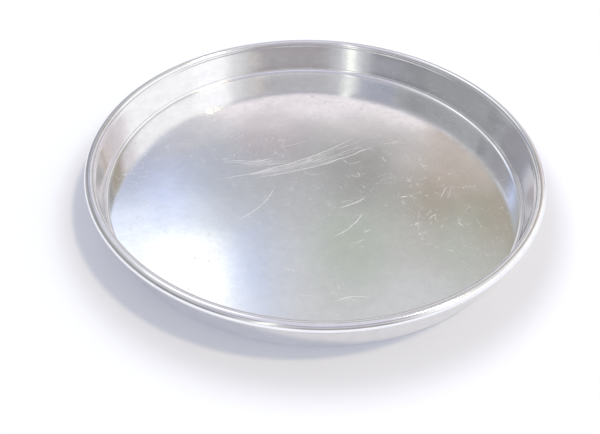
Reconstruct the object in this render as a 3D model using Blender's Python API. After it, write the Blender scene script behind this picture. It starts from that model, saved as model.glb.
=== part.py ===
"""Round pizza pan: one drawn aluminium sheet whose edge is rolled round a steel rim wire.

Metres, +Z up. The origin is the centre of the underside, on the surface that the pan stands on.
"""

import math

import bmesh
import bpy

# Driving sizes of the sheet
PAN_DIAMETER = 0.3556
PAN_HEIGHT = 0.0330
SHEET_THICKNESS = 0.0010
CORNER_RADIUS = 0.0035
WALL_TAPER = math.radians(0.5)

# The shoulder sets the bead outward from the wall, in a small double bend
SHOULDER_STEP = 0.0003
SHOULDER_HEIGHT = 0.0024

# The rim wire, and the space that the rolled edge leaves for it
WIRE_DIAMETER = 0.0048
WIRE_CLEARANCE = 0.0003
WIRE_END_GAP = 0.0012
CURL_EDGE_GAP = 0.0006

# Facets
TURN_STEPS = 96
CORNER_STEPS = 5
SHOULDER_STEPS = 3
CURL_TOP_STEPS = 10
CURL_UNDER_STEPS = 7
WIRE_BEVEL_RESOLUTION = 2

SMOOTH_ANGLE = math.radians(35)
MERGE_DISTANCE = 1e-6

# Sizes that follow from the driving ones; the sheet is drawn along its middle layer
PAN_RADIUS = PAN_DIAMETER / 2
HALF_SHEET = SHEET_THICKNESS / 2
BEAD_RADIUS = WIRE_DIAMETER / 2 + WIRE_CLEARANCE + SHEET_THICKNESS
BEAD_X = PAN_RADIUS - BEAD_RADIUS
BEAD_Z = PAN_HEIGHT - BEAD_RADIUS


def clear_scene():
    """Remove every object of the open scene."""
    for obj in list(bpy.data.objects):
        bpy.data.objects.remove(obj, do_unlink=True)


def metal(name, colour, roughness):
    """A Principled metal of one colour."""
    material = bpy.data.materials.new(name)
    material.use_nodes = True
    shader = material.node_tree.nodes["Principled BSDF"]
    shader.inputs["Base Color"].default_value = (*colour, 1.0)
    shader.inputs["Metallic"].default_value = 1.0
    shader.inputs["Roughness"].default_value = roughness
    material.diffuse_color = (*colour, 1.0)
    return material


def aluminium():
    """Bright rolled aluminium of the pan."""
    return metal("pan_aluminium", (0.80, 0.81, 0.83), 0.22)


def wire_steel():
    """Drawn steel wire, greyer than the sheet round it."""
    return metal("wire_steel", (0.42, 0.42, 0.43), 0.38)


def arc(centre_x, centre_z, radius, start, end, steps):
    """Points of an arc in the XZ plane, angles in radians from +X towards +Z, both ends included."""
    points = []
    for step in range(steps + 1):
        angle = start + (end - start) * step / steps
        points.append((centre_x + radius * math.cos(angle), centre_z + radius * math.sin(angle)))
    return points


def shoulder(low_x, low_z, high_x, high_z):
    """Points of the double bend between the wall and the bead, without its upper end."""
    points = []
    for step in range(SHOULDER_STEPS):
        share = step / SHOULDER_STEPS
        swing = (1 - math.cos(math.pi * share)) / 2
        points.append((low_x + (high_x - low_x) * swing, low_z + (high_z - low_z) * share))
    return points


def curl_end_angle():
    """Angle at which the rolled edge stops, so that it stays clear of the wall below the shoulder."""
    wall_face_x = BEAD_X - BEAD_RADIUS + SHEET_THICKNESS - SHOULDER_STEP
    reach = (wall_face_x + CURL_EDGE_GAP - BEAD_X) / BEAD_RADIUS
    return -math.acos(reach)


def sheet_path():
    """Middle layer of the sheet, from the floor's centre out, up the wall and round the wire."""
    curl_radius = BEAD_RADIUS - HALF_SHEET
    curl_start_x = BEAD_X - curl_radius
    wall_top_x = curl_start_x - SHOULDER_STEP
    wall_top_z = BEAD_Z - SHOULDER_HEIGHT

    bend_radius = CORNER_RADIUS + HALF_SHEET
    bend_z = HALF_SHEET + bend_radius
    wall_foot_z = bend_z - bend_radius * math.sin(WALL_TAPER)
    wall_foot_x = wall_top_x - (wall_top_z - wall_foot_z) * math.tan(WALL_TAPER)
    bend_x = wall_foot_x - bend_radius * math.cos(WALL_TAPER)

    path = [(0.0, HALF_SHEET)]
    path += arc(bend_x, bend_z, bend_radius, -math.pi / 2, -WALL_TAPER, CORNER_STEPS)
    path += shoulder(wall_top_x, wall_top_z, curl_start_x, BEAD_Z)
    path += arc(BEAD_X, BEAD_Z, curl_radius, math.pi, 0.0, CURL_TOP_STEPS)
    path += arc(BEAD_X, BEAD_Z, curl_radius, 0.0, curl_end_angle(), CURL_UNDER_STEPS)[1:]
    return path


def turned_mesh(name, path):
    """Mesh of a path in the XZ plane, turned once round the Z axis."""
    shape = bmesh.new()
    verts = [shape.verts.new((x, 0.0, z)) for x, z in path]
    edges = [shape.edges.new(pair) for pair in zip(verts, verts[1:])]
    bmesh.ops.spin(
        shape,
        geom=verts + edges,
        cent=(0.0, 0.0, 0.0),
        axis=(0.0, 0.0, 1.0),
        angle=2 * math.pi,
        steps=TURN_STEPS,
        use_merge=True,
    )
    bmesh.ops.remove_doubles(shape, verts=shape.verts, dist=MERGE_DISTANCE)
    bmesh.ops.recalc_face_normals(shape, faces=shape.faces)
    mesh = bpy.data.meshes.new(name)
    shape.to_mesh(mesh)
    shape.free()
    mesh.shade_smooth()
    mesh.set_sharp_from_angle(angle=SMOOTH_ANGLE)
    return mesh


def add_object(name, data, material):
    """Link a new object that holds this data and this material."""
    data.materials.append(material)
    obj = bpy.data.objects.new(name, data)
    bpy.context.collection.objects.link(obj)
    return obj


def make_pan_shell():
    """Floor, corner, wall, shoulder and rolled edge: one sheet of even thickness."""
    shell = add_object("pan_shell", turned_mesh("pan_shell", sheet_path()), aluminium())
    wall = shell.modifiers.new("Sheet", "SOLIDIFY")
    wall.thickness = SHEET_THICKNESS
    wall.offset = 0.0
    wall.use_even_offset = True
    return shell


def make_rim_wire():
    """Round wire bent to a ring inside the rolled edge, its two ends butting with a small gap."""
    gap_angle = WIRE_END_GAP / BEAD_X
    ring = arc(0.0, 0.0, BEAD_X, gap_angle / 2, 2 * math.pi - gap_angle / 2, TURN_STEPS)
    curve = bpy.data.curves.new("rim_wire", "CURVE")
    curve.dimensions = "3D"
    curve.bevel_depth = WIRE_DIAMETER / 2
    curve.bevel_resolution = WIRE_BEVEL_RESOLUTION
    curve.use_fill_caps = True
    spline = curve.splines.new("POLY")
    spline.points.add(len(ring) - 1)
    for point, (x, y) in zip(spline.points, ring):
        point.co = (x, y, BEAD_Z, 1.0)
    return add_object("rim_wire", curve, wire_steel())


def main():
    """Build the pan in an empty scene."""
    clear_scene()
    make_pan_shell()
    make_rim_wire()


main()
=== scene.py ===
"""Looks of the round pizza pan: a drawn aluminium sheet with a rolled edge, its rim wire and a soft studio.

Run as a script. Metres, +Z up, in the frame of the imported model.
"""

import math
from collections import namedtuple

import bmesh
import bpy
from mathutils import Matrix, Vector


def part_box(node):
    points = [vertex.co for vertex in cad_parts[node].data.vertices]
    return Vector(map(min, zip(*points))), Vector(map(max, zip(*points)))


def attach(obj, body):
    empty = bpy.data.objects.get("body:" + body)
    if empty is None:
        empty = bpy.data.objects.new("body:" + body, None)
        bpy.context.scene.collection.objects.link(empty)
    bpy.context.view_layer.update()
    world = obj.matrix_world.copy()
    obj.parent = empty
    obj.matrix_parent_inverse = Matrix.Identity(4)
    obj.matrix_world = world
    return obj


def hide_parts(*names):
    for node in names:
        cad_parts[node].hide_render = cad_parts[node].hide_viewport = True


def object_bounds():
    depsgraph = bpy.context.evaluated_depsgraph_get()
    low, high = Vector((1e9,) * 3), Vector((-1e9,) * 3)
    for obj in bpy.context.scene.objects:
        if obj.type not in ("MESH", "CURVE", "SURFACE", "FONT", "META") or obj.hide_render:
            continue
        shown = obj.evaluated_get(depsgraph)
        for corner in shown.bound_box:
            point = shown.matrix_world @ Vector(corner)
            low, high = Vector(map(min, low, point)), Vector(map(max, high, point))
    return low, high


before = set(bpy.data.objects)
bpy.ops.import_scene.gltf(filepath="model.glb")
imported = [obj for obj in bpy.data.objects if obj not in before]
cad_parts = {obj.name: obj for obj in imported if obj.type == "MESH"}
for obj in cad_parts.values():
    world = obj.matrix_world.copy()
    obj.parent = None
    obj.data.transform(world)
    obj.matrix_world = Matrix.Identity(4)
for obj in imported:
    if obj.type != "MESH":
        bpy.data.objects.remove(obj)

bl_info = {
    "name": "Pizza pan",
    "version": (1, 0, 0),
    "blender": (4, 5, 0),
    "location": "3D View > Sidebar > Pizza pan",
    "description": "Makes the pan's drawn sheet, its rim wire and a plain studio",
    "category": "Object",
}

MM = 0.001
CAD_LOW, CAD_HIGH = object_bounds()
WIRE_LOW, WIRE_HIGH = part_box("rim_wire")

# The round pieces keep this much inside the faceted model's box
SIZE_MARGIN = 0.02 * MM

# Facets of the finished pieces
TURN_STEPS = 320
FLOOR_RINGS = 10
CORNER_STEPS = 14
WALL_STEPS = 6
SHOULDER_STEPS = 8
CURL_STEPS = 44
WIRE_SIDES = 20
TABLE_SIDES = 96
MERGE_DISTANCE = 1e-6
SMOOTH_ANGLE = math.radians(30)

# Studio, in metres but for the sensor, which is in millimetres
TABLE_RADIUS = 4.0
TABLE_ROUGHNESS = 0.9
KEY_DISTANCE = 1.0
SENSOR_WIDTH = 36.0

# A soft box is a patch of light seen in the surroundings: where its middle stands, its size, how wide its
# edge fades, its colour and its strength. Angles are in degrees, azimuth from +X towards +Y.
SoftBox = namedtuple("SoftBox", "azimuth elevation width height fade colour strength")

ROOM_COLOUR = "#D4D5D7"
SOFT_BOXES = (
    # Overhead
    SoftBox(azimuth=0, elevation=90, width=400, height=52, fade=14, colour="#DCDAE6", strength=1.0),
    # Left side of the room
    SoftBox(azimuth=183, elevation=22, width=75, height=35, fade=29, colour="#9FA1A2", strength=1.0),
    SoftBox(azimuth=127, elevation=24, width=36, height=31, fade=6, colour="#A09FA5", strength=1.0),
    SoftBox(azimuth=112, elevation=8, width=40, height=22, fade=8, colour="#DCDCDF", strength=1.0),
    SoftBox(azimuth=151, elevation=33, width=12, height=4, fade=3, colour="#7A7C83", strength=1.0),
    SoftBox(azimuth=104, elevation=37, width=14, height=6, fade=10, colour="#FBF8FF", strength=1.25),
    # Right side
    SoftBox(azimuth=5, elevation=22, width=87, height=44, fade=27, colour="#FFFEFE", strength=1.1),
    SoftBox(azimuth=57, elevation=29, width=27, height=24, fade=15, colour="#E4DCDF", strength=1.0),
    SoftBox(azimuth=65, elevation=6, width=60, height=16, fade=10, colour="#BDB9C2", strength=1.0),
    SoftBox(azimuth=83, elevation=32, width=42, height=6, fade=10, colour="#FFF6F9", strength=1.2),
    SoftBox(azimuth=308, elevation=33, width=9, height=27, fade=9, colour="#E9E3DE", strength=1.0),
    SoftBox(azimuth=338, elevation=29, width=22, height=32, fade=11, colour="#FEFEFF", strength=1.2),
    # Behind the camera, with one tall narrow window
    SoftBox(azimuth=270, elevation=54, width=120, height=22, fade=9, colour="#B5B2C0", strength=1.0),
    SoftBox(azimuth=286, elevation=15, width=47, height=31, fade=14, colour="#A9A4A6", strength=1.0),
    SoftBox(azimuth=222, elevation=18, width=36, height=22, fade=12, colour="#919297", strength=1.0),
    SoftBox(azimuth=251, elevation=35, width=6, height=48, fade=5, colour="#FDFFF6", strength=1.4),
    SoftBox(azimuth=251, elevation=32, width=9, height=4, fade=3, colour="#E3E7E6", strength=1.0),
    SoftBox(azimuth=233, elevation=32, width=22, height=5, fade=4, colour="#A9ADC0", strength=1.0),
    # Beyond the pan, with a big window high on the left
    SoftBox(azimuth=68, elevation=40, width=18, height=10, fade=12, colour="#9A8E77", strength=1.0),
    SoftBox(azimuth=67, elevation=45, width=6, height=8, fade=7, colour="#B9C0B6", strength=1.0),
    SoftBox(azimuth=94, elevation=39, width=33, height=9, fade=8, colour="#979592", strength=1.0),
    SoftBox(azimuth=109, elevation=48, width=19, height=15, fade=15, colour="#A8BFF6", strength=1.35),
    SoftBox(azimuth=112, elevation=51, width=18, height=15, fade=9, colour="#FCFFFB", strength=1.4),
    SoftBox(azimuth=130, elevation=62, width=46, height=16, fade=9, colour="#F3F1FF", strength=1.5),
    SoftBox(azimuth=97, elevation=42, width=20, height=9, fade=12, colour="#BEC0C3", strength=1.0),
    SoftBox(azimuth=72, elevation=34, width=5, height=10, fade=4, colour="#C4B8B0", strength=1.0),
    SoftBox(azimuth=96, elevation=36, width=8, height=3, fade=2, colour="#B2A6AB", strength=1.0),
    SoftBox(azimuth=83, elevation=48, width=13, height=9, fade=9, colour="#B8BFB4", strength=1.0),
)

# A long scratch on the floor of the pan: its two ends, the sideways bow of its middle and its width in
# millimetres, and how deep it is from 0 to 1
LongScratch = namedtuple("LongScratch", "start end bow width depth")

LONG_SCRATCHES = (
    LongScratch(start=(-58, -10), end=(37, 51), bow=-6.3, width=0.55, depth=1.0),
    LongScratch(start=(-56, -15), end=(58, 41), bow=-7.0, width=0.50, depth=0.9),
    LongScratch(start=(-65, 5), end=(-29, 5), bow=-0.6, width=0.35, depth=0.5),
    LongScratch(start=(58, 38), end=(95, 55), bow=1.0, width=0.35, depth=0.5),
    LongScratch(start=(-33, 29), end=(-7, 41), bow=-0.8, width=0.35, depth=0.4),
    LongScratch(start=(14, -78), end=(41, -46), bow=-4.0, width=0.80, depth=0.5),
    LongScratch(start=(20, -46), end=(44, -30), bow=-1.2, width=0.90, depth=0.5),
    LongScratch(start=(-58, -66), end=(-31, -23), bow=-5.0, width=0.50, depth=0.8),
    LongScratch(start=(28, 9), end=(42, 16), bow=-0.5, width=0.35, depth=0.6),
    LongScratch(start=(40, -71), end=(46, -67), bow=0.2, width=0.45, depth=1.0),
    LongScratch(start=(34, -82), end=(39, -78), bow=0.3, width=0.40, depth=0.7),
    LongScratch(start=(59, 22), end=(62, 15), bow=0.2, width=0.40, depth=0.8),
    LongScratch(start=(-17, -109), end=(-9, -112), bow=0.4, width=0.45, depth=0.9),
    LongScratch(start=(-9, -131), end=(8, -132), bow=0.3, width=0.35, depth=0.4),
    LongScratch(start=(19, -121), end=(21, -126), bow=0.3, width=0.40, depth=0.6),
    LongScratch(start=(16, -137), end=(44, -131), bow=3.5, width=0.40, depth=0.7),
    LongScratch(start=(25, 15), end=(29, 11), bow=0.2, width=0.45, depth=0.8),
    LongScratch(start=(37, 0), end=(39, -7), bow=0.5, width=0.40, depth=0.6),
    LongScratch(start=(71, -30), end=(77, -28), bow=0.4, width=0.60, depth=0.9),
    LongScratch(start=(79, -60), end=(82, -57), bow=0.1, width=0.60, depth=1.0),
    LongScratch(start=(90, -54), end=(97, -47), bow=0.3, width=0.50, depth=0.6),
    LongScratch(start=(88, -50), end=(95, -43), bow=0.2, width=0.40, depth=0.4),
    LongScratch(start=(103, -29), end=(111, -13), bow=0.6, width=0.45, depth=0.5),
    LongScratch(start=(108, -30), end=(115, -12), bow=0.4, width=0.35, depth=0.35),
    LongScratch(start=(111, -55), end=(116, -60), bow=0.3, width=0.40, depth=0.5),
    LongScratch(start=(113, -50), end=(113, -61), bow=0.5, width=0.40, depth=0.4),
)

# A sheaf of hairlines that run together: as a long scratch, with the sheaf's breadth at its middle, how much
# it widens towards its end, and the hairlines' spacing in millimetres
Sheaf = namedtuple("Sheaf", "start end bow breadth flare spacing depth")

SHEAVES = (
    Sheaf(start=(-66, -15), end=(60, 50), bow=-7.0, breadth=16.0, flare=0.4, spacing=1.7, depth=1.0),
    Sheaf(start=(-72, 4), end=(-10, 14), bow=-2.0, breadth=12.0, flare=0.2, spacing=2.3, depth=0.8),
)

# The hairlines of a sheaf stray by a noise, and each has a least width and depth, to which chance adds
STRAY_LENGTH = 25  # mm along a hairline to one step of the noise
STRAY_SCALE = 0.45
STRAY_STRENGTH = 3.0  # spacings
HAIRLINE_WIDTH = 0.16  # share of the spacing
HAIRLINE_WIDTH_CHANCE = 0.20
HAIRLINE_DEPTH = 0.2
HAIRLINE_DEPTH_CHANCE = 0.8
SHEAF_SIDE_START = 0.7  # share of the half breadth where its sides start to thin out
SHEAF_END_START = 0.4  # share of the half length where its hairlines start to thin out
SHEAF_END_STOP = 0.8  # and where they are gone

# The random scratches lie one to a cell: the cell's size, the greatest length, the width and bow of a
# scratch in millimetres, and how deep the deepest is
ScratchLayer = namedtuple("ScratchLayer", "cell length width bow depth seed")

SCRATCH_LAYERS = (
    ScratchLayer(cell=4, length=2.0, width=0.30, bow=0.1, depth=0.5, seed=3.1),
    ScratchLayer(cell=8, length=4, width=0.30, bow=0.4, depth=0.40, seed=5.3),
    ScratchLayer(cell=16, length=13, width=0.34, bow=0.8, depth=0.60, seed=8.7),
    ScratchLayer(cell=36, length=34, width=0.42, bow=1.0, depth=0.70, seed=15.2),
    ScratchLayer(cell=60, length=60, width=1.80, bow=1.5, depth=0.16, seed=21.4),
)

SCRATCH_END_START = 0.3  # share of the half length where a random scratch starts to thin out
SCRATCH_FAINTNESS = 2.5  # power that makes most of them faint

# Crooked scuffs follow the contour lines of a noise and are broken into pieces: the size of their bends and
# of their pieces in millimetres, how wide a band of the noise they take, and how deep they are
Scuff = namedtuple("Scuff", "bends pieces band depth")

SCUFFS = (
    Scuff(bends=13.33, pieces=5.263, band=0.014, depth=0.40),
    Scuff(bends=36, pieces=16, band=0.010, depth=0.30),
    Scuff(bends=24, pieces=11, band=0.008, depth=0.25),
)

# Sizes of the noise patterns in millimetres
WAVER_SIZE = 18.18  # bends that keep the scratches from being even
WAVER_REACH = 2.8  # how strong those bends are
RUBBED_SIZE = 62.5  # areas that are rubbed more
MOTTLE_SIZE = 11.11  # blotches of the film, which its detail breaks up to less than a millimetre
CLOUD_SIZE = 41.67  # clouds of haze
WAVE_SIZE = 90.91  # gentle waves of the sheet
STREAK_SIZE = 12.5  # streaks of the wall, along the rim
STREAK_SQUEEZE = 0.08  # height is squeezed by this, which draws the streaks upwards
FLECK_SIZE = 1.111  # flecks of the wire

# The part of a noise's values that is stretched to a whole pattern
SCUFF_RANGE = (0.56, 0.68)
RUBBED_RANGE = (0.38, 0.62)
FILM_RANGE = (0.35, 0.65)
HAZE_RANGE = (0.3, 0.7)

LEAST_RUBBED = 0.25  # depth left to scratches where the sheet is rubbed least
LEAST_HAZE, MOST_HAZE = 0.5, 1.5  # share of the haze where there is no film and where it is whole
WIRE_UNEVENNESS = 0.08  # how far the wire's roughness goes up and down

# The marks of the floor end this far in from the outer edge of the bead, and fade over this width
FLOOR_INSET = 11 * MM
FLOOR_FADE = 6 * MM


class PanSizes(bpy.types.PropertyGroup):
    """Sizes of the sheet and its wire."""

    diameter: bpy.props.FloatProperty(
        name="Diameter",
        description="Across the rolled edge",
        default=CAD_HIGH.x - CAD_LOW.x - SIZE_MARGIN,
        unit="LENGTH",
    )
    height: bpy.props.FloatProperty(
        name="Height",
        description="From the underside to the top of the bead",
        default=CAD_HIGH.z - SIZE_MARGIN,
        unit="LENGTH",
    )
    sheet: bpy.props.FloatProperty(
        name="Sheet", description="Thickness of the aluminium", default=0.0010, unit="LENGTH"
    )
    corner_radius: bpy.props.FloatProperty(
        name="Corner radius",
        description="Inside radius between floor and wall",
        default=0.0035,
        unit="LENGTH",
    )
    wall_taper: bpy.props.FloatProperty(
        name="Wall taper",
        description="Outward lean of the wall",
        default=math.radians(0.5),
        subtype="ANGLE",
    )
    shoulder_step: bpy.props.FloatProperty(
        name="Shoulder step",
        description="How far the bead stands out from the wall",
        default=0.0003,
        unit="LENGTH",
    )
    shoulder_height: bpy.props.FloatProperty(
        name="Shoulder height",
        description="Height of the double bend under the bead",
        default=0.0024,
        unit="LENGTH",
    )
    wire_clearance: bpy.props.FloatProperty(
        name="Wire clearance",
        description="Space between wire and rolled edge",
        default=0.0003,
        unit="LENGTH",
    )
    wire_end_gap: bpy.props.FloatProperty(
        name="Wire end gap", description="Space between the butting ends", default=0.0012, unit="LENGTH"
    )
    curl_edge_gap: bpy.props.FloatProperty(
        name="Curl gap",
        description="Space between the rolled edge and the wall",
        default=0.0006,
        unit="LENGTH",
    )


class PanFinish(bpy.types.PropertyGroup):
    """Look of the metals."""

    sheet_colour: bpy.props.StringProperty(
        name="Sheet colour", description="sRGB hex colour of bright aluminium", default="#F8F8F9"
    )
    film_colour: bpy.props.StringProperty(
        name="Film colour",
        description="sRGB hex colour of the sheet where it is filmed over",
        default="#F0F0F2",
    )
    sheet_roughness: bpy.props.FloatProperty(
        name="Sheet roughness", description="Roughness of the clean sheet", default=0.11, min=0.0, max=1.0
    )
    haze: bpy.props.FloatProperty(
        name="Haze",
        description="Added roughness where the sheet is rubbed dull",
        default=0.05,
        min=0.0,
        max=1.0,
    )
    scratch_roughness: bpy.props.FloatProperty(
        name="Scratch roughness",
        description="Added roughness inside a scratch",
        default=0.8,
        min=0.0,
        max=1.0,
    )
    wave_height: bpy.props.FloatProperty(
        name="Wave height", description="Height of the sheet's gentle waves", default=0.0009, unit="LENGTH"
    )
    streak_height: bpy.props.FloatProperty(
        name="Streak height",
        description="Height of the drawn wall's streaks",
        default=0.00006,
        unit="LENGTH",
    )
    grain_height: bpy.props.FloatProperty(
        name="Grain height", description="Height of the sheet's fine grain", default=0.00002, unit="LENGTH"
    )
    wire_colour: bpy.props.StringProperty(
        name="Wire colour", description="sRGB hex colour of plain steel wire", default="#B4B2AF"
    )
    wire_roughness: bpy.props.FloatProperty(
        name="Wire roughness", description="Roughness of the drawn wire", default=0.34, min=0.0, max=1.0
    )


class StudioSettings(bpy.types.PropertyGroup):
    """Camera, table and key lamp."""

    camera_distance: bpy.props.FloatProperty(
        name="Camera distance", description="From the camera to the origin", default=0.4356, unit="LENGTH"
    )
    camera_elevation: bpy.props.FloatProperty(
        name="Camera elevation",
        description="Height angle of the camera",
        default=math.radians(39.43),
        subtype="ANGLE",
    )
    camera_roll: bpy.props.FloatProperty(
        name="Camera roll",
        description="Turn of the camera about its axis",
        default=math.radians(2.54),
        subtype="ANGLE",
    )
    aim_left: bpy.props.FloatProperty(
        name="Aim left",
        description="Turn of the camera from the origin",
        default=math.radians(1.29),
        subtype="ANGLE",
    )
    aim_down: bpy.props.FloatProperty(
        name="Aim down",
        description="Dip of the camera from the origin",
        default=math.radians(5.22),
        subtype="ANGLE",
    )
    lens: bpy.props.FloatProperty(
        name="Lens", description="Focal length in mm on a 36 mm wide sensor", default=30.66, min=1.0
    )
    table_colour: bpy.props.StringProperty(
        name="Table colour", description="sRGB hex colour of the pale table", default="#D4D4D8"
    )
    table_drop: bpy.props.FloatProperty(
        name="Table drop",
        description="Gap under the pan, so that two faces never coincide",
        default=0.0003,
        unit="LENGTH",
    )
    key_azimuth: bpy.props.FloatProperty(
        name="Key azimuth",
        description="Direction of the key lamp",
        default=math.radians(3),
        subtype="ANGLE",
    )
    key_elevation: bpy.props.FloatProperty(
        name="Key elevation",
        description="Height angle of the key lamp",
        default=math.radians(60),
        subtype="ANGLE",
    )
    key_angle: bpy.props.FloatProperty(
        name="Key angle",
        description="How wide the key lamp looks",
        default=math.radians(6.5),
        subtype="ANGLE",
    )
    key_strength: bpy.props.FloatProperty(
        name="Key strength",
        description="Light of the key lamp on a face turned to it",
        default=1.0,
        min=0.0,
    )
    key_colour: bpy.props.StringProperty(
        name="Key colour", description="sRGB hex colour of the key lamp", default="#FFF0C4"
    )
    table_lift: bpy.props.FloatProperty(
        name="Table lift",
        description="Light that the table adds of its own, far from the pan",
        default=0.50,
        min=0.0,
    )
    # Painted shade: the table's own light near the pan is smaller than far off, which darkens the table round
    # the pan
    painted_shade_lift: bpy.props.FloatProperty(
        name="Shade lift",
        description="Light that the table adds of its own, under the pan",
        default=0.225,
        min=0.0,
    )
    lift_colour: bpy.props.StringProperty(
        name="Lift colour", description="sRGB hex colour of the table's own light", default="#E4ECFF"
    )
    # Between these two distances the painted shade round the pan fades out into the plain white table
    table_near: bpy.props.FloatProperty(
        name="Table near",
        description="Distance from the origin where the lift starts to grow",
        default=0.188,
        unit="LENGTH",
    )
    table_far: bpy.props.FloatProperty(
        name="Table far",
        description="Distance from the origin where the lift is whole",
        default=0.218,
        unit="LENGTH",
    )


def linear(hex_colour):
    """Linear red, green and blue of an sRGB hex colour."""
    values = []
    for start in (1, 3, 5):
        value = int(hex_colour[start:start + 2], 16) / 255
        values.append(value / 12.92 if value <= 0.04045 else ((value + 0.055) / 1.055) ** 2.4)
    return tuple(values)


def add_node(tree, kind, settings, inputs):
    """Add a node; an input takes a value, a socket, or another node, which stands for its first output.

    A Map Range node reads from the range of its inputs 1 and 2 and gives the range of its inputs 3 and 4.
    """
    node = tree.nodes.new("ShaderNode" + kind)
    for name, value in settings.items():
        setattr(node, name, value)
    for name, value in inputs.items():
        if isinstance(value, bpy.types.Node):
            value = value.outputs[0]
        if isinstance(value, bpy.types.NodeSocket):
            tree.links.new(value, node.inputs[name])
        else:
            node.inputs[name].default_value = value
    return node


def arc(centre_x, centre_z, radius, start, end, steps):
    """Points of an arc in the XZ plane, angles in radians from +X towards +Z, both ends included."""
    points = []
    for step in range(steps + 1):
        angle = start + (end - start) * step / steps
        points.append((centre_x + radius * math.cos(angle), centre_z + radius * math.sin(angle)))
    return points


def straight(start, end, steps):
    """Points from start towards end, without the end."""
    points = []
    for step in range(steps):
        share = step / steps
        points.append((start[0] + (end[0] - start[0]) * share, start[1] + (end[1] - start[1]) * share))
    return points


def sheet_path(sizes):
    """Middle layer of the sheet in the XZ plane: floor, corner, wall, shoulder and rolled edge."""
    half_sheet = sizes.sheet / 2
    wire_diameter = WIRE_HIGH.z - WIRE_LOW.z
    bead_radius = wire_diameter / 2 + sizes.wire_clearance + sizes.sheet
    bead_x = sizes.diameter / 2 - bead_radius
    bead_z = sizes.height - bead_radius
    curl_radius = bead_radius - half_sheet
    curl_start_x = bead_x - curl_radius
    wall_top_x = curl_start_x - sizes.shoulder_step
    wall_top_z = bead_z - sizes.shoulder_height
    gap_x = sizes.sheet - sizes.shoulder_step + sizes.curl_edge_gap
    curl_end = -math.acos((gap_x - bead_radius) / bead_radius)

    bend_radius = sizes.corner_radius + half_sheet
    bend_z = half_sheet + bend_radius
    wall_foot_z = bend_z - bend_radius * math.sin(sizes.wall_taper)
    wall_foot_x = wall_top_x - (wall_top_z - wall_foot_z) * math.tan(sizes.wall_taper)
    bend_x = wall_foot_x - bend_radius * math.cos(sizes.wall_taper)

    path = straight((0.0, half_sheet), (bend_x, half_sheet), FLOOR_RINGS)
    path += arc(bend_x, bend_z, bend_radius, -math.pi / 2, -sizes.wall_taper, CORNER_STEPS)
    path += straight((wall_foot_x, wall_foot_z), (wall_top_x, wall_top_z), WALL_STEPS)[1:]
    for step in range(SHOULDER_STEPS):
        share = step / SHOULDER_STEPS
        swing = (1 - math.cos(math.pi * share)) / 2
        path.append((wall_top_x + sizes.shoulder_step * swing, wall_top_z + sizes.shoulder_height * share))
    path += arc(bead_x, bead_z, curl_radius, math.pi, curl_end, CURL_STEPS)
    return path


def turned_shape(path):
    """A bmesh of the path turned once round the Z axis."""
    shape = bmesh.new()
    verts = [shape.verts.new((x, 0.0, z)) for x, z in path]
    edges = [shape.edges.new(pair) for pair in zip(verts, verts[1:])]
    bmesh.ops.spin(
        shape,
        geom=verts + edges,
        cent=(0.0, 0.0, 0.0),
        axis=(0.0, 0.0, 1.0),
        angle=2 * math.pi,
        steps=TURN_STEPS,
        use_merge=True,
    )
    bmesh.ops.remove_doubles(shape, verts=shape.verts, dist=MERGE_DISTANCE)
    bmesh.ops.recalc_face_normals(shape, faces=shape.faces)
    return shape


def finished_piece(name, shape, material, node):
    """Turn a bmesh into a smooth piece that rides on the pan and stands for one node of the model."""
    mesh = bpy.data.meshes.new(name)
    shape.to_mesh(mesh)
    shape.free()
    mesh.shade_smooth()
    mesh.set_sharp_from_angle(angle=SMOOTH_ANGLE)
    mesh.materials.append(material)
    piece = bpy.data.objects.new(name, mesh)
    bpy.context.collection.objects.link(piece)
    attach(piece, "root")
    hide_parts(node)
    return piece


def short_scratches(tree, place, layer):
    """Mask of one short scratch to each random cell, each at its own angle, length, bow and depth."""
    cell = layer.cell * MM
    width = layer.width * MM
    half_length = layer.length * MM / 2
    place = add_node(tree, "VectorMath", {"operation": "ADD"}, {0: place, 1: (layer.seed, layer.seed, 0.0)})
    cells = add_node(tree, "TexVoronoi", {"voronoi_dimensions": "2D"}, {"Vector": place, "Scale": 1 / cell})
    local = add_node(tree, "VectorMath", {"operation": "SUBTRACT"}, {0: place, 1: cells.outputs["Position"]})
    chance = add_node(tree, "SeparateColor", {}, {0: cells.outputs["Color"]})
    angle = add_node(tree, "Math", {"operation": "MULTIPLY"}, {0: chance.outputs[0], 1: 2 * math.pi})
    turned = add_node(tree, "VectorRotate", {"rotation_type": "Z_AXIS"}, {"Vector": local, "Angle": angle})
    axes = add_node(tree, "SeparateXYZ", {}, {0: turned})
    square = add_node(tree, "Math", {"operation": "MULTIPLY"}, {0: axes.outputs[0], 1: axes.outputs[0]})
    lean = add_node(tree, "Math", {"operation": "SUBTRACT"}, {0: chance.outputs[0], 1: 0.5})
    steep = add_node(tree, "Math", {"operation": "MULTIPLY"}, {0: lean, 1: 4 * layer.bow / cell})
    bowed = add_node(tree, "Math", {"operation": "MULTIPLY_ADD"}, {0: square, 1: steep, 2: axes.outputs[1]})
    across = add_node(tree, "Math", {"operation": "ABSOLUTE"}, {0: bowed})
    along = add_node(tree, "Math", {"operation": "ABSOLUTE"}, {0: axes.outputs[0]})
    reach = add_node(tree, "Math", {"operation": "MULTIPLY"}, {0: chance.outputs[2], 1: half_length})
    share = add_node(tree, "Math", {"operation": "DIVIDE"}, {0: along, 1: reach})
    smooth = {"interpolation_type": "SMOOTHSTEP"}
    line = add_node(tree, "MapRange", smooth, {0: across, 1: 0.0, 2: width, 3: layer.depth, 4: 0.0})
    ends = add_node(tree, "MapRange", smooth, {0: share, 1: SCRATCH_END_START, 2: 1.0, 3: 1.0, 4: 0.0})
    shape = add_node(tree, "Math", {"operation": "MULTIPLY"}, {0: line, 1: ends})
    faint = add_node(tree, "Math", {"operation": "POWER"}, {0: chance.outputs[1], 1: SCRATCH_FAINTNESS})
    return add_node(tree, "Math", {"operation": "MULTIPLY"}, {0: shape, 1: faint})


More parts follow.
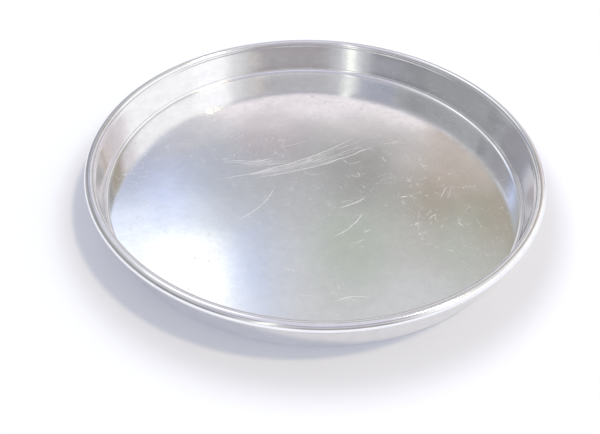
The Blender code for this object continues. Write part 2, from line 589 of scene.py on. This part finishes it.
def crooked_scuffs(tree, place, scuff):
    """Mask of thin crooked scuffs: pieces of the contour lines of a noise."""
    flat = {"noise_dimensions": "2D"}
    bends, pieces = 1 / (scuff.bends * MM), 1 / (scuff.pieces * MM)
    crook = add_node(tree, "TexNoise", flat, {"Vector": place, "Scale": bends, "Detail": 3.0})
    middle = add_node(tree, "Math", {"operation": "SUBTRACT"}, {0: crook.outputs["Fac"], 1: 0.5})
    middle = add_node(tree, "Math", {"operation": "ABSOLUTE"}, {0: middle})
    lines = add_node(tree, "MapRange", {}, {0: middle, 1: 0.0, 2: scuff.band, 3: 1.0, 4: 0.0})
    broken = add_node(tree, "TexNoise", flat, {"Vector": place, "Scale": pieces, "Detail": 1.0})
    low, high = SCUFF_RANGE
    kept = add_node(tree, "MapRange", {}, {0: broken.outputs["Fac"], 1: low, 2: high, 3: 0.0, 4: scuff.depth})
    return add_node(tree, "Math", {"operation": "MULTIPLY"}, {0: lines, 1: kept})


def bowed_axes(tree, place, mark):
    """Distances along and across a bowed line from end to end of a mark, and half its length."""
    start = Vector((*mark.start, 0.0)) * MM
    end = Vector((*mark.end, 0.0)) * MM
    reach = (end - start).length / 2
    bow = mark.bow * MM
    turn = math.atan2(end.y - start.y, end.x - start.x)
    local = add_node(
        tree,
        "Mapping",
        {"vector_type": "TEXTURE"},
        {"Vector": place, "Location": (start + end) / 2, "Rotation": (0.0, 0.0, turn)},
    )
    axes = add_node(tree, "SeparateXYZ", {}, {0: local})
    square = add_node(tree, "Math", {"operation": "MULTIPLY"}, {0: axes.outputs[0], 1: axes.outputs[0]})
    line = add_node(tree, "Math", {"operation": "MULTIPLY_ADD"}, {0: square, 1: -bow / reach**2, 2: bow})
    across = add_node(tree, "Math", {"operation": "SUBTRACT"}, {0: axes.outputs[1], 1: line})
    return axes.outputs[0], across, reach


def long_scratch(tree, place, scratch):
    """Mask of one long bowed scratch that thins out towards its ends."""
    along, across, reach = bowed_axes(tree, place, scratch)
    along = add_node(tree, "Math", {"operation": "ABSOLUTE"}, {0: along})
    across = add_node(tree, "Math", {"operation": "ABSOLUTE"}, {0: across})
    width = scratch.width * MM
    smooth = {"interpolation_type": "SMOOTHSTEP"}
    line = add_node(tree, "MapRange", smooth, {0: across, 1: 0.0, 2: width, 3: scratch.depth, 4: 0.0})
    ends = add_node(tree, "MapRange", smooth, {0: along, 1: reach / 2, 2: reach, 3: 1.0, 4: 0.0})
    return add_node(tree, "Math", {"operation": "MULTIPLY"}, {0: line, 1: ends})


def sheaf_of_hairlines(tree, place, sheaf):
    """Mask of hairlines side by side along a bowed line, which fan out, each with its own depth and reach."""
    along, across, reach = bowed_axes(tree, place, sheaf)
    spread = add_node(tree, "Math", {"operation": "MULTIPLY_ADD"}, {0: along, 1: sheaf.flare / reach, 2: 1.0})
    across = add_node(tree, "Math", {"operation": "DIVIDE"}, {0: across, 1: spread})

    # Count of hairlines from the middle, which a noise lets stray
    sideways = add_node(tree, "Math", {"operation": "DIVIDE"}, {0: across, 1: sheaf.spacing * MM})
    lengthwise = add_node(tree, "Math", {"operation": "DIVIDE"}, {0: along, 1: STRAY_LENGTH * MM})
    strands = add_node(tree, "CombineXYZ", {}, {0: lengthwise, 1: sideways})
    stray = add_node(tree, "TexNoise", {"noise_dimensions": "2D"}, {"Vector": strands, "Scale": STRAY_SCALE})
    stray = stray.outputs["Fac"]
    count = add_node(tree, "Math", {"operation": "MULTIPLY_ADD"}, {0: stray, 1: STRAY_STRENGTH, 2: sideways})
    number = add_node(tree, "Math", {"operation": "FLOOR"}, {0: count})
    off = add_node(tree, "Math", {"operation": "FRACT"}, {0: count})
    off = add_node(tree, "Math", {"operation": "SUBTRACT"}, {0: off, 1: 0.5})
    off = add_node(tree, "Math", {"operation": "ABSOLUTE"}, {0: off})

    # Width, depth and slip of each hairline, by chance
    chance = add_node(tree, "TexWhiteNoise", {"noise_dimensions": "1D"}, {"W": number})
    chance = add_node(tree, "SeparateColor", {}, {0: chance.outputs["Color"]})
    width = add_node(
        tree,
        "Math",
        {"operation": "MULTIPLY_ADD"},
        {0: chance.outputs[0], 1: HAIRLINE_WIDTH_CHANCE, 2: HAIRLINE_WIDTH},
    )
    line = add_node(tree, "MapRange", {}, {0: off, 1: 0.0, 2: width, 3: sheaf.depth, 4: 0.0})
    depth = add_node(
        tree,
        "Math",
        {"operation": "MULTIPLY_ADD"},
        {0: chance.outputs[1], 1: HAIRLINE_DEPTH_CHANCE, 2: HAIRLINE_DEPTH},
    )
    line = add_node(tree, "Math", {"operation": "MULTIPLY"}, {0: line, 1: depth})
    slip = add_node(tree, "Math", {"operation": "MULTIPLY_ADD"}, {0: chance.outputs[2], 1: reach, 2: along})
    slip = add_node(tree, "Math", {"operation": "SUBTRACT"}, {0: slip, 1: reach / 2})
    slip = add_node(tree, "Math", {"operation": "ABSOLUTE"}, {0: slip})

    across = add_node(tree, "Math", {"operation": "ABSOLUTE"}, {0: across})
    half = sheaf.breadth * MM / 2
    inner = half * SHEAF_SIDE_START
    start, stop = reach * SHEAF_END_START, reach * SHEAF_END_STOP
    smooth = {"interpolation_type": "SMOOTHSTEP"}
    sides = add_node(tree, "MapRange", smooth, {0: across, 1: inner, 2: half, 3: 1.0, 4: 0.0})
    ends = add_node(tree, "MapRange", smooth, {0: slip, 1: start, 2: stop, 3: 1.0, 4: 0.0})
    both = add_node(tree, "Math", {"operation": "MULTIPLY"}, {0: sides, 1: ends})
    return add_node(tree, "Math", {"operation": "MULTIPLY"}, {0: line, 1: both})


def deepest(tree, masks):
    """Mask that is as deep everywhere as the deepest of these."""
    depth = 0.0
    for mask in masks:
        depth = add_node(tree, "Math", {"operation": "MAXIMUM"}, {0: mask, 1: depth})
    return depth


def new_material(name, colour, metallic, roughness):
    """A material of one colour; returns it with its node tree and its shader."""
    material = bpy.data.materials.new(name)
    material.use_nodes = True
    tree = material.node_tree
    shader = tree.nodes["Principled BSDF"]
    shader.inputs["Base Color"].default_value = (*linear(colour), 1.0)
    shader.inputs["Metallic"].default_value = metallic
    shader.inputs["Roughness"].default_value = roughness
    return material, tree, shader


def floor_scratches(tree, place, on_floor, on_top):
    """Mask of every scratch on the floor: random ones on both sides, placed ones on the upper side."""
    # The place is bent a little, so that no scratch is quite even; the underside gets its own random ones
    waver = add_node(tree, "TexNoise", {}, {"Vector": place, "Scale": 1 / (WAVER_SIZE * MM), "Detail": 3.0})
    waver = waver.outputs["Color"]
    drift = add_node(tree, "VectorMath", {"operation": "SUBTRACT"}, {0: waver, 1: (0.5, 0.5, 0.5)})
    drift = add_node(tree, "VectorMath", {"operation": "SCALE"}, {0: drift, "Scale": WAVER_REACH * MM})
    bent = add_node(tree, "VectorMath", {"operation": "ADD"}, {0: place, 1: drift})
    side = add_node(tree, "CombineXYZ", {}, {0: on_top, 1: on_top})
    apart = add_node(tree, "VectorMath", {"operation": "ADD"}, {0: bent, 1: side})

    # Some areas have been rubbed more than others
    areas = add_node(tree, "TexNoise", {}, {"Vector": place, "Scale": 1 / (RUBBED_SIZE * MM), "Detail": 2.0})
    low, high = RUBBED_RANGE
    areas = areas.outputs["Fac"]
    rubbed = add_node(tree, "MapRange", {}, {0: areas, 1: low, 2: high, 3: LEAST_RUBBED, 4: 1.0})
    scuffs = [crooked_scuffs(tree, apart, scuff) for scuff in SCUFFS]
    short = [short_scratches(tree, apart, layer) for layer in SCRATCH_LAYERS]
    random_marks = deepest(tree, scuffs + short)
    random_marks = add_node(tree, "Math", {"operation": "MULTIPLY"}, {0: random_marks, 1: rubbed})
    long = [long_scratch(tree, bent, scratch) for scratch in LONG_SCRATCHES]
    sheaves = [sheaf_of_hairlines(tree, bent, sheaf) for sheaf in SHEAVES]
    placed_marks = deepest(tree, long + sheaves)
    placed_marks = add_node(tree, "Math", {"operation": "MULTIPLY"}, {0: placed_marks, 1: on_top})
    scratches = add_node(tree, "Math", {"operation": "MAXIMUM"}, {0: random_marks, 1: placed_marks})
    return add_node(tree, "Math", {"operation": "MULTIPLY"}, {0: scratches, 1: on_floor})


def sheet_height(tree, place, mottle, on_floor, finish):
    """Height in metres: the sheet's gentle waves, its fine grain and the wall's upright streaks."""
    swells = {"Vector": place, "Scale": 1 / (WAVE_SIZE * MM), "Detail": 1.0}
    waves = add_node(tree, "TexNoise", {}, swells).outputs["Fac"]
    squeeze = (1.0, 1.0, STREAK_SQUEEZE)
    squat = add_node(tree, "VectorMath", {"operation": "MULTIPLY"}, {0: place, 1: squeeze})
    upright = {"Vector": squat, "Scale": 1 / (STREAK_SIZE * MM), "Detail": 2.0}
    streaks = add_node(tree, "TexNoise", {}, upright).outputs["Fac"]
    on_wall = add_node(tree, "Math", {"operation": "SUBTRACT"}, {0: 1.0, 1: on_floor})
    streaks = add_node(tree, "Math", {"operation": "MULTIPLY"}, {0: streaks, 1: on_wall})
    height = add_node(tree, "Math", {"operation": "MULTIPLY"}, {0: waves, 1: finish.wave_height})
    for pattern, scale in ((mottle, finish.grain_height), (streaks, finish.streak_height)):
        height = add_node(tree, "Math", {"operation": "MULTIPLY_ADD"}, {0: pattern, 1: scale, 2: height})
    return height


def scratched_aluminium(finish, sizes):
    """Bright aluminium sheet, rolled, drawn to a pan and used.

    Rolling leaves a soft mirror, which shows near things sharply and blurs what stands far off. Drawing
    leaves faint upright streaks on the wall and a floor that is not quite flat. Use leaves haze and thin
    scratches on the floor. Real scratches are 0.05 to 0.2 mm wide and are drawn a few times as wide, so
    that they show.
    """
    material, tree, shader = new_material(
        "rolled_aluminium_sheet", finish.sheet_colour, 1.0, finish.sheet_roughness
    )
    place = add_node(tree, "TexCoord", {}, {}).outputs["Object"]
    axes = add_node(tree, "SeparateXYZ", {}, {0: place})
    flat = add_node(tree, "VectorMath", {"operation": "MULTIPLY"}, {0: place, 1: (1.0, 1.0, 0.0)})
    radius = add_node(tree, "VectorMath", {"operation": "LENGTH"}, {0: flat}).outputs["Value"]
    floor_radius = sizes.diameter / 2 - FLOOR_INSET
    on_floor = add_node(
        tree, "MapRange", {}, {0: radius, 1: floor_radius - FLOOR_FADE, 2: floor_radius, 3: 1.0, 4: 0.0}
    )
    on_top = add_node(tree, "Math", {"operation": "GREATER_THAN"}, {0: axes.outputs[2], 1: sizes.sheet / 2})
    scratches = floor_scratches(tree, place, on_floor, on_top)

    # Handling leaves a thin uneven film, mottled down to about a millimetre
    grains = {"Vector": place, "Scale": 1 / (MOTTLE_SIZE * MM), "Detail": 6.0, "Roughness": 0.75}
    mottle = add_node(tree, "TexNoise", {}, grains).outputs["Fac"]
    low, high = FILM_RANGE
    film = add_node(tree, "MapRange", {}, {0: mottle, 1: low, 2: high, 3: 0.0, 4: 1.0})
    bare = (*linear(finish.sheet_colour), 1.0)
    filmed = (*linear(finish.film_colour), 1.0)
    colour = add_node(tree, "Mix", {"data_type": "RGBA"}, {0: film, 6: bare, 7: filmed})
    tree.links.new(colour.outputs[2], shader.inputs["Base Color"])

    # Haze lies in clouds on the floor, and is stronger under the film
    patches = {"Vector": place, "Scale": 1 / (CLOUD_SIZE * MM), "Detail": 4.0, "Roughness": 0.6}
    clouds = add_node(tree, "TexNoise", {}, patches).outputs["Fac"]
    low, high = HAZE_RANGE
    haze = add_node(tree, "MapRange", {}, {0: clouds, 1: low, 2: high, 3: 0.0, 4: finish.haze})
    grain = add_node(tree, "MapRange", {}, {0: film, 3: LEAST_HAZE, 4: MOST_HAZE})
    haze = add_node(tree, "Math", {"operation": "MULTIPLY"}, {0: haze, 1: grain})
    haze = add_node(tree, "Math", {"operation": "MULTIPLY"}, {0: haze, 1: on_floor})
    rough = add_node(tree, "Math", {"operation": "ADD"}, {0: haze, 1: finish.sheet_roughness})
    rough = add_node(
        tree, "Math", {"operation": "MULTIPLY_ADD"}, {0: scratches, 1: finish.scratch_roughness, 2: rough}
    )
    tree.links.new(rough.outputs[0], shader.inputs["Roughness"])

    height = sheet_height(tree, place, mottle, on_floor, finish)
    bump = add_node(tree, "Bump", {}, {"Strength": 1.0, "Distance": 1.0, "Height": height})
    tree.links.new(bump.outputs[0], shader.inputs["Normal"])
    return material


def drawn_steel_wire(finish):
    """Plain steel wire, drawn through a die, which leaves it grey, with a duller and uneven shine."""
    material, tree, shader = new_material("drawn_steel_wire", finish.wire_colour, 1.0, finish.wire_roughness)
    place = add_node(tree, "TexCoord", {}, {}).outputs["Object"]
    flecks = add_node(tree, "TexNoise", {}, {"Vector": place, "Scale": 1 / (FLECK_SIZE * MM), "Detail": 2.0})
    low, high = finish.wire_roughness - WIRE_UNEVENNESS, finish.wire_roughness + WIRE_UNEVENNESS
    rough = add_node(tree, "MapRange", {}, {0: flecks.outputs["Fac"], 3: low, 4: high})
    tree.links.new(rough.outputs[0], shader.inputs["Roughness"])
    return material


def pale_table(studio):
    """Matt pale table top, lifted to plain white away from the pan for the eye and for the metal; nearer the
    pan it is lifted less, which paints a grey shade round the pan.
    """
    material, tree, shader = new_material("matt_white_table", studio.table_colour, 0.0, TABLE_ROUGHNESS)
    shader.inputs["Specular IOR Level"].default_value = 0.0
    shader.inputs["Emission Color"].default_value = (*linear(studio.lift_colour), 1.0)
    ray = add_node(tree, "LightPath", {}, {})
    seen = add_node(
        tree,
        "Math",
        {"operation": "MAXIMUM"},
        {0: ray.outputs["Is Camera Ray"], 1: ray.outputs["Is Glossy Ray"]},
    )
    seen = add_node(tree, "Math", {"operation": "MAXIMUM"}, {0: seen, 1: ray.outputs["Is Transmission Ray"]})
    place = add_node(tree, "TexCoord", {}, {}).outputs["Object"]
    away = add_node(tree, "VectorMath", {"operation": "LENGTH"}, {0: place}).outputs["Value"]
    near, far = studio.table_near, studio.table_far
    smooth = {"interpolation_type": "SMOOTHSTEP"}
    low, high = studio.painted_shade_lift, studio.table_lift
    # Painted shade: less of the table's own light near the pan, seen by the eye and in reflections in the
    # metal
    lift = add_node(tree, "MapRange", smooth, {0: away, 1: near, 2: far, 3: low, 4: high})
    lift = add_node(tree, "Math", {"operation": "MULTIPLY"}, {0: seen, 1: lift})
    tree.links.new(lift.outputs[0], shader.inputs["Emission Strength"])
    return material


class PIZZAPAN_OT_draw_sheet(bpy.types.Operator):
    """Make the aluminium sheet: floor, corner, wall, shoulder and rolled edge"""

    bl_idname = "pizzapan.draw_sheet"
    bl_label = "Draw the sheet"

    def execute(self, context):
        sizes = context.scene.pan_sizes
        shape = turned_shape(sheet_path(sizes))
        material = scratched_aluminium(context.scene.pan_finish, sizes)
        piece = finished_piece("drawn_sheet", shape, material, "pan_shell")
        wall = piece.modifiers.new("Sheet", "SOLIDIFY")
        wall.thickness = sizes.sheet
        wall.offset = 0.0
        wall.use_even_offset = True
        return {"FINISHED"}


class PIZZAPAN_OT_bend_wire(bpy.types.Operator):
    """Make the rim wire: a round steel ring with two sheared ends that butt"""

    bl_idname = "pizzapan.bend_wire"
    bl_label = "Bend the rim wire"

    def execute(self, context):
        sizes = context.scene.pan_sizes
        wire_radius = (WIRE_HIGH.z - WIRE_LOW.z) / 2
        ring_radius = WIRE_HIGH.x - wire_radius
        gap = sizes.wire_end_gap / ring_radius
        start = Vector((math.cos(gap / 2), math.sin(gap / 2), 0.0)) * ring_radius
        centre = Matrix.Translation((start.x, start.y, (WIRE_LOW.z + WIRE_HIGH.z) / 2))
        upright = centre @ Matrix.Rotation(gap / 2, 4, "Z") @ Matrix.Rotation(math.pi / 2, 4, "X")
        shape = bmesh.new()
        ring = bmesh.ops.create_circle(
            shape, cap_ends=True, radius=wire_radius, segments=WIRE_SIDES, matrix=upright
        )
        first = ring["verts"][0].link_faces[0]
        spun = bmesh.ops.spin(
            shape,
            geom=[first],
            cent=(0.0, 0.0, 0.0),
            axis=(0.0, 0.0, 1.0),
            angle=2 * math.pi - gap,
            steps=TURN_STEPS,
            use_duplicate=False,
        )
        if not spun["geom_last"]:
            raise RuntimeError("the wire did not spin")
        bmesh.ops.recalc_face_normals(shape, faces=shape.faces)
        material = drawn_steel_wire(context.scene.pan_finish)
        finished_piece("wire_ring", shape, material, "rim_wire")
        return {"FINISHED"}


def add_table(studio):
    """Round pale table top under the pan."""
    shape = bmesh.new()
    place = Matrix.Translation((0.0, 0.0, -studio.table_drop))
    bmesh.ops.create_circle(shape, cap_ends=True, radius=TABLE_RADIUS, segments=TABLE_SIDES, matrix=place)
    mesh = bpy.data.meshes.new("table")
    shape.to_mesh(mesh)
    shape.free()
    mesh.materials.append(pale_table(studio))
    table = bpy.data.objects.new("table", mesh)
    bpy.context.collection.objects.link(table)


def soft_box_mask(tree, direction, box):
    """Mask of one soft box: 1 inside, fading over its edge."""
    turned = add_node(
        tree,
        "VectorRotate",
        {"rotation_type": "Z_AXIS", "invert": True},
        {"Vector": direction, "Angle": math.radians(box.azimuth)},
    )
    axes = add_node(tree, "SeparateXYZ", {}, {0: turned})
    azimuth = add_node(tree, "Math", {"operation": "ARCTAN2"}, {0: axes.outputs[1], 1: axes.outputs[0]})
    elevation = add_node(tree, "Math", {"operation": "ARCSINE"}, {0: axes.outputs[2]})
    rise = add_node(tree, "Math", {"operation": "SUBTRACT"}, {0: elevation, 1: math.radians(box.elevation)})
    smooth = {"interpolation_type": "SMOOTHSTEP"}
    mask = 1.0
    for angle, size in ((azimuth, box.width), (rise, box.height)):
        away = add_node(tree, "Math", {"operation": "ABSOLUTE"}, {0: angle})
        inner = math.radians(size - box.fade) / 2
        outer = math.radians(size + box.fade) / 2
        side = add_node(tree, "MapRange", smooth, {0: away, 1: inner, 2: outer, 3: 1.0, 4: 0.0})
        mask = add_node(tree, "Math", {"operation": "MULTIPLY"}, {0: side, 1: mask})
    return mask


def add_surroundings():
    """World of a pale room with soft boxes, plain white where the camera looks straight at it."""
    world = bpy.data.worlds.new("soft_studio")
    bpy.context.scene.world = world
    world.use_nodes = True
    tree = world.node_tree
    tree.nodes.clear()
    direction = add_node(tree, "TexCoord", {}, {}).outputs["Generated"]
    colour = (*linear(ROOM_COLOUR), 1.0)
    for box in SOFT_BOXES:
        light = tuple(value * box.strength for value in linear(box.colour))
        mask = soft_box_mask(tree, direction, box)
        mix = add_node(tree, "Mix", {"data_type": "RGBA"}, {0: mask, 6: colour, 7: (*light, 1.0)})
        colour = mix.outputs[2]
    room = add_node(tree, "Background", {}, {"Color": colour})
    white = add_node(tree, "Background", {}, {"Color": (1.0, 1.0, 1.0, 1.0)})
    ray = add_node(tree, "LightPath", {}, {}).outputs["Is Camera Ray"]
    both = add_node(tree, "MixShader", {}, {0: ray, 1: room, 2: white})
    add_node(tree, "OutputWorld", {}, {"Surface": both})


def add_key_lamp(studio):
    """Distant soft lamp, high on the right, that casts the pan's shadow."""
    light = bpy.data.lights.new("key_lamp", "SUN")
    light.angle = studio.key_angle
    light.energy = studio.key_strength
    light.color = linear(studio.key_colour)
    lamp = bpy.data.objects.new("key_lamp", light)
    place = Matrix.Rotation(studio.key_azimuth, 4, "Z")
    place @= Matrix.Rotation(math.pi / 2 - studio.key_elevation, 4, "Y")
    lamp.matrix_world = place @ Matrix.Translation((0.0, 0.0, KEY_DISTANCE))
    bpy.context.collection.objects.link(lamp)


def add_camera(studio):
    """Camera at the photograph's viewing angle."""
    data = bpy.data.cameras.new("camera")
    data.sensor_width = SENSOR_WIDTH
    data.lens = studio.lens
    camera = bpy.data.objects.new("camera", data)
    place = Matrix.Rotation(math.pi / 2 - studio.camera_elevation, 4, "X")
    place @= Matrix.Translation((0.0, 0.0, studio.camera_distance))
    place @= Matrix.Rotation(studio.aim_left, 4, "Y")
    place @= Matrix.Rotation(-studio.aim_down, 4, "X")
    camera.matrix_world = place @ Matrix.Rotation(studio.camera_roll, 4, "Z")
    bpy.context.collection.objects.link(camera)
    bpy.context.scene.camera = camera


class PIZZAPAN_OT_set_stage(bpy.types.Operator):
    """Set up the pale table, the soft studio and the camera"""

    bl_idname = "pizzapan.set_stage"
    bl_label = "Set the stage"

    def execute(self, context):
        studio = context.scene.pan_studio
        add_table(studio)
        add_surroundings()
        add_key_lamp(studio)
        add_camera(studio)
        context.scene.view_settings.view_transform = "Standard"
        return {"FINISHED"}


class PIZZAPAN_PT_panel(bpy.types.Panel):
    """Sizes, finishes and makers of the pizza pan"""

    bl_idname = "PIZZAPAN_PT_panel"
    bl_label = "Pizza pan"
    bl_space_type = "VIEW_3D"
    bl_region_type = "UI"
    bl_category = "Pizza pan"

    def draw(self, context):
        layout = self.layout
        for group in (context.scene.pan_sizes, context.scene.pan_finish, context.scene.pan_studio):
            box = layout.box()
            for name in group.__annotations__:
                box.prop(group, name)
        for maker in MAKERS:
            layout.operator(maker.bl_idname)


GROUPS = {"pan_sizes": PanSizes, "pan_finish": PanFinish, "pan_studio": StudioSettings}
MAKERS = (PIZZAPAN_OT_set_stage, PIZZAPAN_OT_draw_sheet, PIZZAPAN_OT_bend_wire)


def register():
    """Register the classes and put the settings on the scene."""
    for cls in (*GROUPS.values(), *MAKERS, PIZZAPAN_PT_panel):
        bpy.utils.register_class(cls)
    for name, group in GROUPS.items():
        setattr(bpy.types.Scene, name, bpy.props.PointerProperty(type=group))


def unregister():
    """Take the settings off the scene and unregister the classes."""
    for name in GROUPS:
        delattr(bpy.types.Scene, name)
    for cls in reversed((*GROUPS.values(), *MAKERS, PIZZAPAN_PT_panel)):
        bpy.utils.unregister_class(cls)


def main():
    """Make everything in order."""
    register()
    bpy.ops.pizzapan.set_stage()
    bpy.ops.pizzapan.draw_sheet()
    bpy.ops.pizzapan.bend_wire()


if __name__ == "__main__":
    main()
